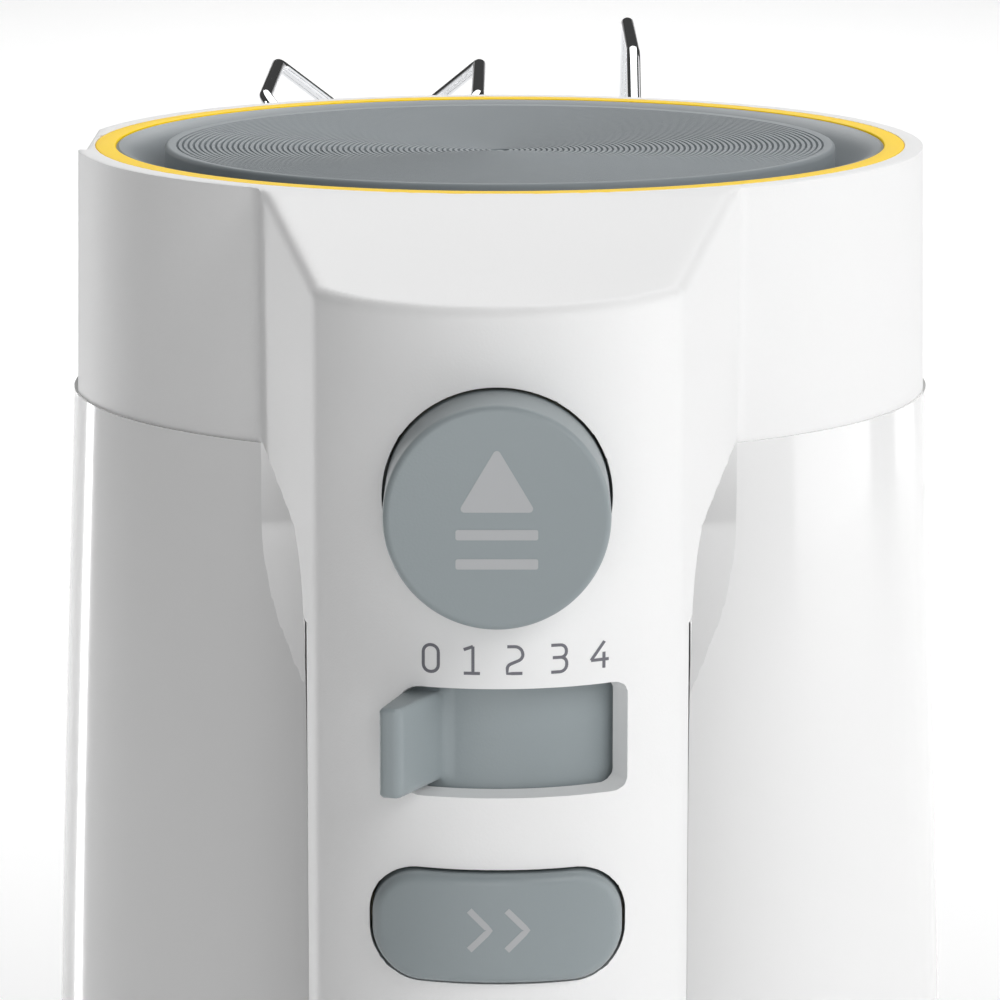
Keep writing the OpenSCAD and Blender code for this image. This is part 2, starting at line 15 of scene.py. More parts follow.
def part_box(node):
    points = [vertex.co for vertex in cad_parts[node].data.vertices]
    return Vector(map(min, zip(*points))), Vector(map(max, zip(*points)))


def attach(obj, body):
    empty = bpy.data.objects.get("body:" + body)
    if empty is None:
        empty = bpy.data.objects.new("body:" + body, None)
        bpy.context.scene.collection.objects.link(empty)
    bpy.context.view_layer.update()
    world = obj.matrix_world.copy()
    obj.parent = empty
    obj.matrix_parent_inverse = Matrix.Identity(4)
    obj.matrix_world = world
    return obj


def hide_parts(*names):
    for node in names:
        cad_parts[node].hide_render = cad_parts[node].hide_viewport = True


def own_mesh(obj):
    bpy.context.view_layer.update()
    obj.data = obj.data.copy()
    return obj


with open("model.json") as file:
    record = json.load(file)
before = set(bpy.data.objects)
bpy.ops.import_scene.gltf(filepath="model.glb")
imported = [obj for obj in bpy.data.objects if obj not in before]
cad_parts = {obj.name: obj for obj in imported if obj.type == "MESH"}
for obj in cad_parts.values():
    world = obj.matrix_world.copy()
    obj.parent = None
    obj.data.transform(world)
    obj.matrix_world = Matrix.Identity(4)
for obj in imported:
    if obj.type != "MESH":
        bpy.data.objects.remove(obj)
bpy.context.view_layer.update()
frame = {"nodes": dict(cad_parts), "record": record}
MM = 0.001


# ---- Sizes in millimetres, placed from the CAD nodes
def span(node):
    low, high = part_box(node)
    return np.array(low) / MM, np.array(high) / MM


def middle(node):
    low, high = span(node)
    return (low + high) / 2


# The whole casing
WALL = 2.4
TOP = span("upper_housing")[1][2]
HEEL = span("upper_housing")[0][2]
SEAM = 0.15
LAP = 0.05

# Collar, with a flat scoop in the left of it towards the back
COLLAR_R = 46.0
COLLAR_INNER = 44.05
COLLAR_DRAFT = 0.35 / 26.4
COLLAR_Z = TOP - 26.4
SCOOP_X = -44.55
SCOOP_Y = -7.0

# Drum, with a flat for the fingers
BELLY_R = 49.3
BELLY_Z = 80.0
HEEL_ROUND = 7.5
RECESS_Y = 39.7
RECESS_TILT = 0.05
FACET_END = TOP - 39.8
RAMP_SLOPE = 0.25
TOP_DRAW = 2.65
HEEL_DRAW = 1.2

# Neck, handle and the bridge at its lower end
HANDLE_TOP = -span("upper_housing")[0][1]
HANDLE_UNDER = 75.0
CROWN_R = 20.0
CROWN_Y = -(HANDLE_TOP - CROWN_R)
CORNER_X = 17.4
CORNER_Y = CROWN_Y - math.sqrt(CROWN_R**2 - CORNER_X**2)
NECK_X = 24.5
FLANK = (NECK_X - CORNER_X) / (-RECESS_Y - CORNER_Y)
END_SLOPE = 3.3 / (HANDLE_TOP - COLLAR_R)
SPLIT_Y = -84.0
SPLIT_Z = TOP - 36
BRIDGE_TOP = 34.0
ROOF_SLOPE = 0.085

# Controls, with the depths to which their openings are cut, the cord inlet and the beaters
HOLE_FLOOR = -86.0
SLOT_FLOOR = -84.0
CLEARANCE = 0.3
EJECT_Z = middle("eject_button")[2] - 0.2
EJECT_FACE = span("eject_button")[0][1]
EJECT_R = 10.4
SLIDER_Z = middle("speed_slider")[2]
SLIDER_Y = -(HANDLE_TOP - 18.2)
SLIDER_REST = math.radians(-27)
PLATE_OUTER = 15.5
TURBO_Z = middle("turbo_button")[2] - 0.45
TURBO_HALF = (11.7, 5.2)
TURBO_PROUD = 1.2
PRINT = 0.05
GLAND_HOLE_R = 8.15
GLAND_Z = middle("cord_gland")[2]
SPINDLE_Z = middle("left_beater_shaft")[2]
SPINDLE_X = middle("right_beater_shaft")[0]


# ---- Solids as functions
def round_both(a, b, r):
    """The overlap of two solids, with its edge rounded to radius r where they cross squarely."""
    edge = np.hypot(np.maximum(r + a, 0), np.maximum(r + b, 0))
    return np.minimum(-r, np.maximum(a, b)) + edge


def round_either(a, b, r):
    """The union of two solids, with a fillet of radius r in the corner between them."""
    edge = np.hypot(np.maximum(r - a, 0), np.maximum(r - b, 0))
    return np.maximum(r, np.minimum(a, b)) - edge


def box2(u, v, half_u, half_v, r):
    """A rectangle with round corners in two of the coordinates."""
    a = np.abs(u) - half_u + r
    b = np.abs(v) - half_v + r
    return np.hypot(np.maximum(a, 0), np.maximum(b, 0)) + np.minimum(np.maximum(a, b), 0) - r


def barrel(x, y, z):
    """The drum's wall, which draws in above and below its belly."""
    above = TOP_DRAW * (np.maximum(z - BELLY_Z, 0) / (COLLAR_Z - BELLY_Z)) ** 1.3
    below = HEEL_DRAW * ((BELLY_Z - z) / BELLY_Z) ** 2
    return np.hypot(x, y) - BELLY_R + np.where(z > BELLY_Z, above, below)


def recess(y, z):
    """The flat for the fingers on the front of the drum, and the ramp below it."""
    flat = -RECESS_Y - RECESS_TILT * (COLLAR_Z - z) - y
    end = -RECESS_Y - RECESS_TILT * (COLLAR_Z - FACET_END)
    ramp = (end - (FACET_END - z) * RAMP_SLOPE - y) / math.hypot(1, RAMP_SLOPE)
    return round_either(flat, ramp, 1.0)


def socket_window(x, y, z):
    """The opening behind the socket block."""
    return np.maximum(box2(x, z - SPINDLE_Z + 0.5, 32.2, 14.7, 6), -y)


def vents(x, y, z):
    """Eleven upright slits across the back of the drum, near its heel."""
    pitch = math.radians(12)
    angle = np.arctan2(x, y)
    nearest = np.clip(np.round(angle / pitch), -5, 5) * pitch
    across = np.hypot(x, y) * np.sin(angle - nearest)
    cut = np.maximum(box2(across, z - 26, 1.3, 9, 1.2), 30 - np.hypot(x, y))
    return np.maximum(cut, -y)


def drum_shape(x, y, z):
    """The drum as a shell, open at the collar."""
    plain = np.maximum(barrel(x, y, z), recess(y, z))
    outer = round_both(plain, HEEL - z, HEEL_ROUND)
    outer = np.maximum(outer, z - (COLLAR_Z + LAP))
    inner = np.maximum(plain, HEEL - z) + WALL
    shell = np.maximum(outer, -inner)
    shell = np.maximum(shell, -socket_window(x, y, z))
    return round_both(shell, -vents(x, y, z), 0.4)


def plan(x, y):
    """Flanks and crown of the neck and handle, seen along the motor axis."""
    flank = (np.abs(x) - CORNER_X - FLANK * (y - CORNER_Y)) * math.cos(math.atan(FLANK))
    crown = np.where(
        y < CROWN_Y,
        np.hypot(x, y - CROWN_Y) - CROWN_R,
        0.7 * (np.abs(x) - CROWN_R - (y - CROWN_Y)),
    )
    return round_both(flank, crown, 0.5)


def finger_gap(y, z):
    """The opening for the fingers, between handle, bridge and roof."""
    roof = z - COLLAR_Z - ROOF_SLOPE * (y + RECESS_Y)
    corner = round_both(-HANDLE_UNDER - y, BRIDGE_TOP - z, 9)
    return round_both(corner, roof * math.cos(math.atan(ROOF_SLOPE)), 3)


def end_face(y, z):
    """The flat nose rim, and the face that falls from it to the handle's top."""
    slope = (z - TOP - END_SLOPE * (y + COLLAR_R)) * math.cos(math.atan(END_SLOPE))
    return np.maximum(z - TOP, slope)


def loop(x, y, z):
    """Neck, handle and rear bridge as one solid around the finger gap, open at the top.

    The edge around the gap is fine at the roof and widens to a broad rounding below it.
    """
    bottom = round_both(-HANDLE_TOP - 3 - y, HEEL - z, 16)
    body = round_both(plan(x, y), bottom, 3)
    below_roof = np.maximum(COLLAR_Z + ROOF_SLOPE * (y + RECESS_Y) - z, 0)
    fine, widening, reach = 0.8, 8.4, 5
    edge = fine + widening * (1 - np.exp(-below_roof / reach))
    return np.maximum(round_both(body, -finger_gap(y, z), edge), y)


def casing(x, y, z):
    """Collar and loop together, before they are split and hollowed."""
    cylinder = np.hypot(x, y) - COLLAR_R - COLLAR_DRAFT * (TOP - z)
    collar = np.maximum(cylinder, COLLAR_Z - z)
    scoop = np.maximum(x - SCOOP_X, SCOOP_Y - y)
    skin = round_either(np.maximum(collar, -scoop), loop(x, y, z), 0.8)
    fine, broad = 0.2, 1.2
    edge = np.clip(fine + 0.35 * (np.hypot(x, y) - COLLAR_R), fine, broad)
    return round_both(skin, end_face(y, z), edge)


def upper_side(y, z):
    """Negative on the upper housing's side of the seam, which follows the handle and its upper end."""
    return np.minimum(y - SPLIT_Y, SPLIT_Z - z)


def cavity(x, y, z):
    """The hollow inside the neck, handle and bridge."""
    return np.maximum(loop(x, y, z), end_face(y, z)) + WALL


def slot(x, y, z):
    """The slider's window, which opens outwards at its sides and a little at its lower edge."""
    rise = np.clip(np.hypot(x, y - SLIDER_Y) - PLATE_OUTER, 0, 6)
    side = np.maximum(x - 10.4 - 0.57 * rise, -8.1 - x - 0.42 * rise)
    over = z - SLIDER_Z - 5.0
    under = SLIDER_Z - 5.0 - 0.14 * rise - z
    corner = np.where(x < 0, 2.2, 1.3)
    return np.maximum(round_both(np.maximum(over, under), side, corner), y - SLOT_FLOOR)


def gland_hole(x, y, z):
    return np.maximum(np.hypot(x, z - GLAND_Z) - GLAND_HOLE_R, y - HOLE_FLOOR)


def button_holes(x, z):
    """The openings for the eject and turbo buttons, seen from the handle's side."""
    eject = np.hypot(x, z - EJECT_Z) - EJECT_R - CLEARANCE
    turbo = box2(x, z - TURBO_Z, TURBO_HALF[0] + CLEARANCE, TURBO_HALF[1] + CLEARANCE, 4.8)
    return np.minimum(eject, turbo)


def upper_shape(x, y, z):
    """Collar, neck and the outer side of the handle, with the openings for the controls."""
    shell = round_both(casing(x, y, z), upper_side(y, z), 0.3)
    shell = np.maximum(shell, -cavity(x, y, z))
    shell = np.maximum(shell, COLLAR_INNER - np.hypot(x, y))
    shell = np.maximum(shell, -socket_window(x, y, z))
    shell = np.maximum(shell, -np.maximum(button_holes(x, z), y - HOLE_FLOOR))
    shell = np.maximum(shell, -slot(x, y, z))
    return np.maximum(shell, -gland_hole(x, y, z))


def grip_shape(x, y, z):
    """The handle's inner side and the bridge, with two sunk screw holes."""
    shell = round_both(casing(x, y, z), SEAM - upper_side(y, z), 0.3)
    shell = np.maximum(shell, -cavity(x, y, z))
    shell = np.maximum(shell, SEAM - barrel(x, y, z))
    for height in (58, 118):
        sink = np.maximum(np.hypot(x, z - height) - 3.2, -y - HANDLE_UNDER - 1.2)
        shell = np.maximum(shell, -sink)
    return np.maximum(shell, -gland_hole(x, y, z))


def block_shape(x, y, z):
    """The raised block around the two beater sockets."""
    low, high = span("socket_block")
    centre_z = (low[2] + high[2]) / 2
    outer = round_both(box2(x, z - centre_z, 32, (high[2] - low[2]) / 2, 6), y - high[1], 2)
    outer = np.maximum(outer, low[1] - y)
    inner = np.maximum(box2(x, z - centre_z, 32 - WALL, 12, 4), y - high[1] + 3)
    shell = np.maximum(outer, -inner)
    socket = np.hypot(np.abs(x) - SPINDLE_X, z - SPINDLE_Z) - 8.7
    return round_both(shell, -socket, 0.5)


def turbo_shape(x, y, z):
    """A wide button with round ends, crowned like the handle."""
    side = box2(x, z - TURBO_Z, *TURBO_HALF, 4.6)
    crown = np.hypot(x, y - CROWN_Y) - CROWN_R - TURBO_PROUD
    return np.maximum(round_both(side, crown, 0.9), y + 93.4)


def slider_shape(x, y, z):
    """A curved plate inside the slot, and the thumb piece that stands out of it.

    In u and v the thumb piece points straight to -v, so that its faces are planes around that line.
    """
    turn = -SLIDER_REST
    u = x * math.cos(turn) - (y - SLIDER_Y) * math.sin(turn)
    v = x * math.sin(turn) + (y - SLIDER_Y) * math.cos(turn)
    reach = np.hypot(u, v)
    spread = math.radians(73)
    ends = (np.abs(np.arctan2(u, -v)) - spread) * PLATE_OUTER
    plate = np.maximum(np.maximum(reach - PLATE_OUTER, PLATE_OUTER - 1 - reach), ends)
    plate = np.maximum(plate, np.abs(z - SLIDER_Z) - 6.2)
    left = -0.980 * (u + 1.0) - 0.201 * (v + 17.0)
    right = u - 2.65 + 0.0275 * (v + 24.85)
    front = 0.225 * (u - 0.7) - 0.974 * (v + 25.3)
    knob = round_both(round_both(left, front, 0.5), right, 0.7)
    knob = round_both(knob, np.abs(z - SLIDER_Z) - 4.25, 0.5)
    knob = np.maximum(knob, PLATE_OUTER - 0.8 - reach)
    return round_either(plate, knob, 1.0)


# ---- Meshing
# The grid is shifted off the flat faces. The ease holds a point near the middle of its crossings, and
# normals closer than ALIKE share a smooth face.
GRID_SHIFT = 1.37
FIT_EASE = 0.012
ALIKE = math.radians(25)


def gradient(shape, p):
    """Unit normals of a solid's surface at the points p."""
    gap = 0.004
    signs = np.array([[1, -1, -1], [-1, -1, 1], [-1, 1, -1], [1, 1, 1]], float)
    total = np.zeros_like(p)
    for s in signs:
        q = p + gap * s
        total += s * shape(q[:, 0], q[:, 1], q[:, 2])[:, None]
    return total / np.maximum(np.linalg.norm(total, axis=1, keepdims=True), 1e-12)


def sample(shape, low, step, count):
    """Values on a grid. Blocks far from the surface keep the value at their middle."""
    block = 8
    blocks = [-(-n // block) for n in count]
    axes = [low[i] + step * (block * np.arange(blocks[i]) + (block - 1) / 2) for i in range(3)]
    coarse = shape(*np.meshgrid(*axes, indexing="ij"))
    values = coarse.astype(np.float32)
    for i in range(3):
        values = np.repeat(values, block, axis=i)
    values = values[: count[0], : count[1], : count[2]]
    near = np.nonzero(np.abs(values) < step * block * 1.1)
    values[near] = shape(*[low[i] + step * near[i] for i in range(3)])
    return values


def crossings(shape, values, low, step, axis):
    """Grid edges along an axis that cross the surface: start index, point, normal and direction."""
    first = [slice(None)] * 3
    second = [slice(None)] * 3
    first[axis] = slice(None, -1)
    second[axis] = slice(1, None)
    inside = values < 0
    index = np.argwhere(inside[tuple(first)] != inside[tuple(second)])
    unit = np.eye(3)[axis]
    start = low + step * index
    a, b = np.zeros(len(index)), np.ones(len(index))
    fa = values[tuple(index.T)].astype(float)
    outward = fa < 0
    fb = values[tuple((index + np.eye(3, dtype=int)[axis]).T)].astype(float)
    for _ in range(5):
        t = np.clip(fa / (fa - fb), 0.1, 0.9) * (b - a) + a
        p = start + step * t[:, None] * unit
        f = shape(p[:, 0], p[:, 1], p[:, 2])
        same = (f < 0) == outward
        a, fa = np.where(same, t, a), np.where(same, f, fa)
        b, fb = np.where(same, b, t), np.where(same, fb, f)
    t = a + (b - a) * fa / np.where(fa == fb, 1, fa - fb)
    p = start + step * t[:, None] * unit
    return index, p, gradient(shape, p), outward


def contour(name, shape, low, high, step, crease=27):
    """Dual contouring: one point per grid cell that the surface passes, set to fit the planes there.

    The box from low to high has to hold the whole surface, or stray faces come at its border.
    Normals in a cell are one where they all lie within crease degrees of their mean, and else kept apart.
    """
    low = np.array(low, float) - GRID_SHIFT * step
    count = np.ceil((np.array(high, float) - low) / step).astype(int) + 3
    values = sample(shape, low, step, count)
    quads, points, normals = [], [], []
    for axis in range(3):
        index, p, n, outward = crossings(shape, values, low, step, axis)
        b, c = np.eye(3, dtype=int)[(axis + 1) % 3], np.eye(3, dtype=int)[(axis + 2) % 3]
        corner = [index - b - c, index - c, index, index - b]
        ids = np.stack([(q[:, 0] * count[1] + q[:, 1]) * count[2] + q[:, 2] for q in corner], axis=1)
        ids[~outward] = ids[~outward][:, ::-1]
        quads.append(ids)
        points.append(p)
        normals.append(n)
    quads, points, normals = (np.concatenate(v) for v in (quads, points, normals))
    cells, where = np.unique(quads.ravel(), return_inverse=True)
    where = where.reshape(-1)
    size = len(cells)
    p, n = np.repeat(points, 4, axis=0), np.repeat(normals, 4, axis=0)

    def total(weights):
        return np.bincount(where, weights=weights, minlength=size)

    number = total(np.ones(len(where)))
    mass = np.stack([total(p[:, i]) for i in range(3)], axis=1) / number[:, None]
    offset = np.einsum("ij,ij->i", n, p - mass[where])
    matrix = np.empty((size, 3, 3))
    for i in range(3):
        for j in range(i, 3):
            matrix[:, i, j] = matrix[:, j, i] = total(n[:, i] * n[:, j])
    matrix += FIT_EASE * number[:, None, None] * np.eye(3)
    right = np.stack([total(n[:, i] * offset) for i in range(3)], axis=1)
    move = np.linalg.solve(matrix, right[:, :, None])[:, :, 0]
    cell = np.stack(np.unravel_index(cells, tuple(count)), axis=1)
    corner = low + step * cell
    vertex = np.clip(mass + move, corner, corner + step)
    mean = np.stack([total(n[:, i]) for i in range(3)], axis=1)
    mean /= np.maximum(np.linalg.norm(mean, axis=1, keepdims=True), 1e-12)
    worst = np.ones(size)
    np.minimum.at(worst, where, np.einsum("ij,ij->i", n, mean[where]))
    smooth = worst[where] > math.cos(math.radians(crease))
    order = np.argsort(where, kind="stable")
    rank = np.empty(len(where), int)
    rank[order] = np.arange(len(where)) - np.searchsorted(where[order], where[order])
    around = np.zeros((size, 12, 3), np.float32)
    around[where, rank] = n
    around = around[where]
    alike = np.einsum("eij,ej->ei", around, n) > math.cos(ALIKE)
    split = np.einsum("ei,eij->ej", alike, around)
    split /= np.linalg.norm(split, axis=1, keepdims=True)
    split = np.where(smooth[:, None], mean[where], split)
    mesh = bpy.data.meshes.new(name)
    mesh.from_pydata((vertex * MM).tolist(), [], where.reshape(-1, 4).tolist())
    mesh.shade_smooth()
    mesh.normals_split_custom_set(split.tolist())
    return add(name, mesh)


def add(name, mesh):
    """Puts a mesh into the scene as an object."""
    piece = bpy.data.objects.new(name, mesh)
    bpy.context.scene.collection.objects.link(piece)
    return piece


def lathe(name, profile, sides=160, place=None, sharp=35):
    """A turned piece. The profile is (radius, height) pairs around its whole section."""
    verts, faces, rings = [], [], []
    for r, z in profile:
        if r <= 0:
            rings.append([len(verts)] * sides)
            verts.append((0, 0, z))
            continue
        rings.append(list(range(len(verts), len(verts) + sides)))
        for i in range(sides):
            a = 2 * math.pi * i / sides
            verts.append((r * math.cos(a), r * math.sin(a), z))
    pairs = list(zip(rings, rings[1:]))
    if profile[0][0] > 0 or profile[-1][0] > 0:
        pairs.append((rings[-1], rings[0]))
    for low, high in pairs:
        for i in range(sides):
            k = (i + 1) % sides
            face = [low[i], low[k], high[k], high[i]]
            face = [v for j, v in enumerate(face) if v not in face[:j]]
            if len(face) > 2:
                faces.append(face)
    mesh = bpy.data.meshes.new(name)
    mesh.from_pydata(verts, [], faces)
    mesh.transform(Matrix.Scale(MM, 4))
    if place is not None:
        mesh.transform(place)
    mesh.shade_smooth()
    mesh.set_sharp_from_angle(angle=math.radians(sharp))
    return add(name, mesh)


def along_y(x, z):
    """Turns a lathe's axis to +Y, through x and z."""
    return Matrix.Translation((x * MM, 0, z * MM)) @ Matrix.Rotation(math.radians(-90), 4, "X")


def arc(cx, cy, r, a0, a1, n):
    """Points of an arc, with angles in degrees."""
    angles = [math.radians(a0 + (a1 - a0) * i / n) for i in range(n + 1)]
    return [(cx + r * math.cos(a), cy + r * math.sin(a)) for a in angles]


def fillet(points, n=6):
    """Rounds the corners of a path. Each point is (x, y, ..., radius); ends have radius 0."""
    path = []
    for i, point in enumerate(points):
        here, r = Vector(point[:-1]), point[-1]
        if r <= 0:
            path.append(here)
            continue
        before = (Vector(points[i - 1][:-1]) - here).normalized()
        after = (Vector(points[(i + 1) % len(points)][:-1]) - here).normalized()
        half = before.angle(after) / 2
        centre = here + (before + after).normalized() * (r / math.sin(half))
        p = here + before * (r / math.tan(half)) - centre
        q = here + after * (r / math.tan(half)) - centre
        for k in range(n + 1):
            path.append(centre + p.slerp(q, k / n) if len(p) == 3 else centre + turned(p, q, k / n))
    return path


def turned(p, q, t):
    """The vector p, turned by the part t of the angle from p to q."""
    angle = math.atan2(p.x * q.y - p.y * q.x, p.dot(q)) * t
    return Vector((p.x * math.cos(angle) - p.y * math.sin(angle),
                   p.x * math.sin(angle) + p.y * math.cos(angle)))


def wire(name, paths, radius, sides=20):
    """Round wires along paths of points, closed at both ends."""
    verts, faces = [], []
    for path in paths:
        path = [Vector(p) for p in path]
        last = len(path) - 1
        across = None
        base = len(verts)
        for i, point in enumerate(path):
            ahead = (path[min(i + 1, last)] - path[max(i - 1, 0)]).normalized()
            if across is None:
                across = ahead.orthogonal().normalized()
            across = (across - ahead * across.dot(ahead)).normalized()
            up = ahead.cross(across)
            for k in range(sides):
                a = 2 * math.pi * k / sides
                verts.append(point + radius * (math.cos(a) * across + math.sin(a) * up))
        for i in range(last):
            for k in range(sides):
                m = (k + 1) % sides
                a, b = base + i * sides, base + (i + 1) * sides
                faces.append((a + k, a + m, b + m, b + k))
        faces.append([base + k for k in reversed(range(sides))])
        faces.append([base + last * sides + k for k in range(sides)])
    mesh = bpy.data.meshes.new(name)
    mesh.from_pydata(verts, [], faces)
    mesh.transform(Matrix.Scale(MM, 4))
    mesh.shade_smooth()
    mesh.set_sharp_from_angle(angle=math.radians(40))
    return add(name, mesh)


# ---- Materials
def material(name, colour, roughness, grain=0.0, grain_size=0.25, metallic=0.0, coat=0.0, vary=0.03,
             specular=0.5, glow=0.0):
    """Moulded or finished surface with fine grain in its height, colour and roughness. A glow above zero
    is painted light: the surface emits its own colour.
    """
    made = bpy.data.materials.new(name)
    made.use_nodes = True
    nodes, links = made.node_tree.nodes, made.node_tree.links
    shader = nodes["Principled BSDF"]
    shader.inputs["Metallic"].default_value = metallic
    shader.inputs["Coat Weight"].default_value = coat
    shader.inputs["Specular IOR Level"].default_value = specular
    shader.inputs["Coat Roughness"].default_value = 0.05
    if glow > 0:
        shader.inputs["Emission Color"].default_value = (*colour, 1)
        shader.inputs["Emission Strength"].default_value = glow
    place = nodes.new("ShaderNodeTexCoord")
    broad = nodes.new("ShaderNodeTexNoise")
    broad.inputs["Scale"].default_value = 60
    broad.inputs["Detail"].default_value = 4
    links.new(place.outputs["Object"], broad.inputs["Vector"])
    mix = nodes.new("ShaderNodeMix")
    mix.data_type = "RGBA"
    dark = [c * (1 - vary) for c in colour]
    light = [min(1, c * (1 + vary)) for c in colour]
    mix.inputs["A"].default_value = (*dark, 1)
    mix.inputs["B"].default_value = (*light, 1)
    links.new(broad.outputs["Fac"], mix.inputs["Factor"])
    links.new(mix.outputs["Result"], shader.inputs["Base Color"])
    rough = nodes.new("ShaderNodeMapRange")
    rough.inputs["To Min"].default_value = max(0.02, roughness * 0.85)
    rough.inputs["To Max"].default_value = min(1, roughness * 1.15)
    links.new(broad.outputs["Fac"], rough.inputs["Value"])
    links.new(rough.outputs["Result"], shader.inputs["Roughness"])
    if grain > 0:
        fine = nodes.new("ShaderNodeTexNoise")
        fine.inputs["Scale"].default_value = 1 / (grain_size * MM)
        fine.inputs["Detail"].default_value = 2
        links.new(place.outputs["Object"], fine.inputs["Vector"])
        bump = nodes.new("ShaderNodeBump")
        bump.inputs["Strength"].default_value = grain
        bump.inputs["Distance"].default_value = 0.05 * MM
        links.new(fine.outputs["Fac"], bump.inputs["Height"])
        links.new(bump.outputs["Normal"], shader.inputs["Normal"])
    return made


def linear(*rgb):
    """Turns 0 to 255 display values into linear colour."""
    return tuple(((c / 255 + 0.055) / 1.055) ** 2.4 if c > 10 else c / 255 / 12.92 for c in rgb)


FINISH = {
    "white_plastic": material("white_satin", linear(243, 243, 243), 0.48, grain=0.35, vary=0.008),
    "gloss": material("white_gloss", linear(240, 240, 240), 0.12, coat=0.3, vary=0.006),
    # The yellow ring glows faintly in its own colour: painted light that makes it brighter than the lamps
    # alone make it.
    "yellow_plastic": material("yellow", linear(255, 212, 0), 0.5, grain=0.08, specular=0.15,
                               glow=0.12),
    "dark_plastic": material("bowl_grey", linear(138, 145, 149), 0.4, grain=0.15),
    "inner_dark": material("inner_black", linear(52, 54, 58), 0.5, grain=0.2),
    "grey_plastic": material("control_grey", linear(147, 156, 159), 0.42, grain=0.3),
    "disc": material("disc_grey", linear(140, 147, 151), 0.5, grain=0.05, specular=0.25),
    "ink": material("ink", linear(112, 112, 119), 0.5, vary=0.02),
    "icon": material("icon_grey", linear(180, 182, 184), 0.45, vary=0.02),
    "rubber": material("rubber", linear(58, 60, 63), 0.7, grain=0.5, grain_size=0.4),
    "steel": material("steel", (0.55, 0.55, 0.57), 0.3, grain=0.1, metallic=1.0),
    "lamination": material("lamination", (0.32, 0.33, 0.35), 0.45, grain=0.3, metallic=1.0),
    "resin": material("resin", (0.70, 0.65, 0.52), 0.45, grain=0.2),
    "brass": material("brass", (0.75, 0.55, 0.22), 0.28, grain=0.1, metallic=1.0),
    "copper": material("copper", (0.72, 0.32, 0.16), 0.32, grain=0.3, grain_size=0.5, metallic=1.0),
    "carbon": material("carbon", (0.03, 0.03, 0.035), 0.6, grain=0.4),
    "board": material("board", (0.06, 0.18, 0.07), 0.4, grain=0.2),
    "chrome": material("chrome", (0.86, 0.87, 0.89), 0.07, metallic=1.0, vary=0.01),
}
slots = {part["node"]: part["material_slot"] for part in frame["record"]["subparts"]}
for node, obj in frame["nodes"].items():
    finish = FINISH["inner_dark" if slots[node] == "dark_plastic" else slots[node]]
    obj.data.materials.clear()
    obj.data.materials.append(finish)


def settle(piece, finish, body, slot, *nodes):
    """Gives a new piece its material and its body, and hides the CAD nodes that it stands for. The slot
    is not used.
    """
    piece.data.materials.append(FINISH[finish])
    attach(piece, body)
    if nodes:
        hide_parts(*nodes)
    return piece


# ---- Shells
def make_shells():
    upper = contour("upper_shell", upper_shape, (-49, -101, HEEL), (49, 47, TOP), 0.6)
    settle(upper, "white_plastic", "housing", "white_plastic", "upper_housing")
    # Known fault: the seam is at SPLIT_Y, outside the low y of this box. So the piece is open along the
    # seam, and stray faces cross the finger gap.
    grip = contour("grip_underside", grip_shape, (-27, -82, HEEL), (27, -38, SPLIT_Z), 0.7)
    settle(grip, "white_plastic", "housing", "white_plastic", "grip_shell")
    drum = contour("motor_drum", drum_shape, (-50, -50, HEEL), (50, 50, COLLAR_Z), 0.75, 9)
    settle(drum, "gloss", "housing", "white_plastic", "motor_housing")
    low, high = span("socket_block")
    block = contour("socket_shroud", block_shape, low, high, 0.5)
    settle(block, "white_plastic", "housing", "white_plastic", "socket_block")


# ---- Nose
BOWL_FLOOR = TOP - 4.0


def make_ring():
    floor = span("accent_ring")[0][2]
    inner, outer = 41.8, 44.0
    edge = 0.15
    ring = lathe("nose_ring", [
        (inner, floor), (outer, floor), *arc(outer - edge, TOP - edge, edge, 0, 90, 4),
        *arc(inner + edge, TOP - edge, edge, 90, 180, 4)], 320)
    settle(ring, "yellow_plastic", "housing", "yellow_plastic", "accent_ring")


def make_bowl():
    """The grey liner, whose wall curves down to the floor under the disc."""
    floor = span("nose_bowl")[0][2]
    rim = 41.75
    bowl = lathe("nose_bowl_liner", [
        (0, floor), (rim, floor), (rim, TOP - 0.25), (rim - 0.3, TOP - 0.1),
        *[(40.9 - 4 * t / 6, TOP - 0.3 - 3.7 * (t / 6) ** 1.3) for t in range(7)],
        (0, BOWL_FLOOR)], 320)
    settle(bowl, "dark_plastic", "housing", "dark_plastic", "nose_bowl")


def make_disc():
    """The dished disc with its fine ring grooves."""
    disc_r = 36.5
    pitch = 0.6
    groove = 0.28
    first, last = 0.8, disc_r - 0.9
    dish = 0.8
    rings = int((last - first) / pitch)
    face = []
    for i in range(rings, 0, -1):
        for part, sunk in ((0, 0), (0.56, 0), (0.78, groove)):
            radius = first + (i - part) * pitch
            face.append((radius, TOP - 0.1 - dish * (1 - (radius / last) ** 2) - sunk))
    disc = lathe("grooved_disc", [
        (0, BOWL_FLOOR + 0.05), (disc_r, BOWL_FLOOR + 0.05), *arc(disc_r - 0.5, TOP - 0.5, 0.5, 0, 90, 5),
        *face, (0, TOP - 0.1 - dish)], 256, sharp=60)
    settle(disc, "disc", "housing", "grey_plastic", "nose_disc")


# ---- Controls
def extrude(name, outlines, thickness, surface):
    """Flat shapes of a given thickness, laid on surface(x, z), which gives y."""
    verts, faces = [], []
    for outline in outlines:
        base, count = len(verts), len(outline)
        for lift in (0, thickness):
            verts += [(x, surface(x, z) + 0.02 - lift, z) for x, z in outline]
        faces.append([base + count + i for i in range(count)])
        faces.append([base + i for i in reversed(range(count))])
        for i in range(count):
            k = (i + 1) % count
            faces.append((base + i, base + k, base + count + k, base + count + i))
    mesh = bpy.data.meshes.new(name)
    mesh.from_pydata(verts, [], faces)
    mesh.transform(Matrix.Scale(MM, 4))
    mesh.set_sharp_from_angle(angle=math.radians(30))
    return add(name, mesh)


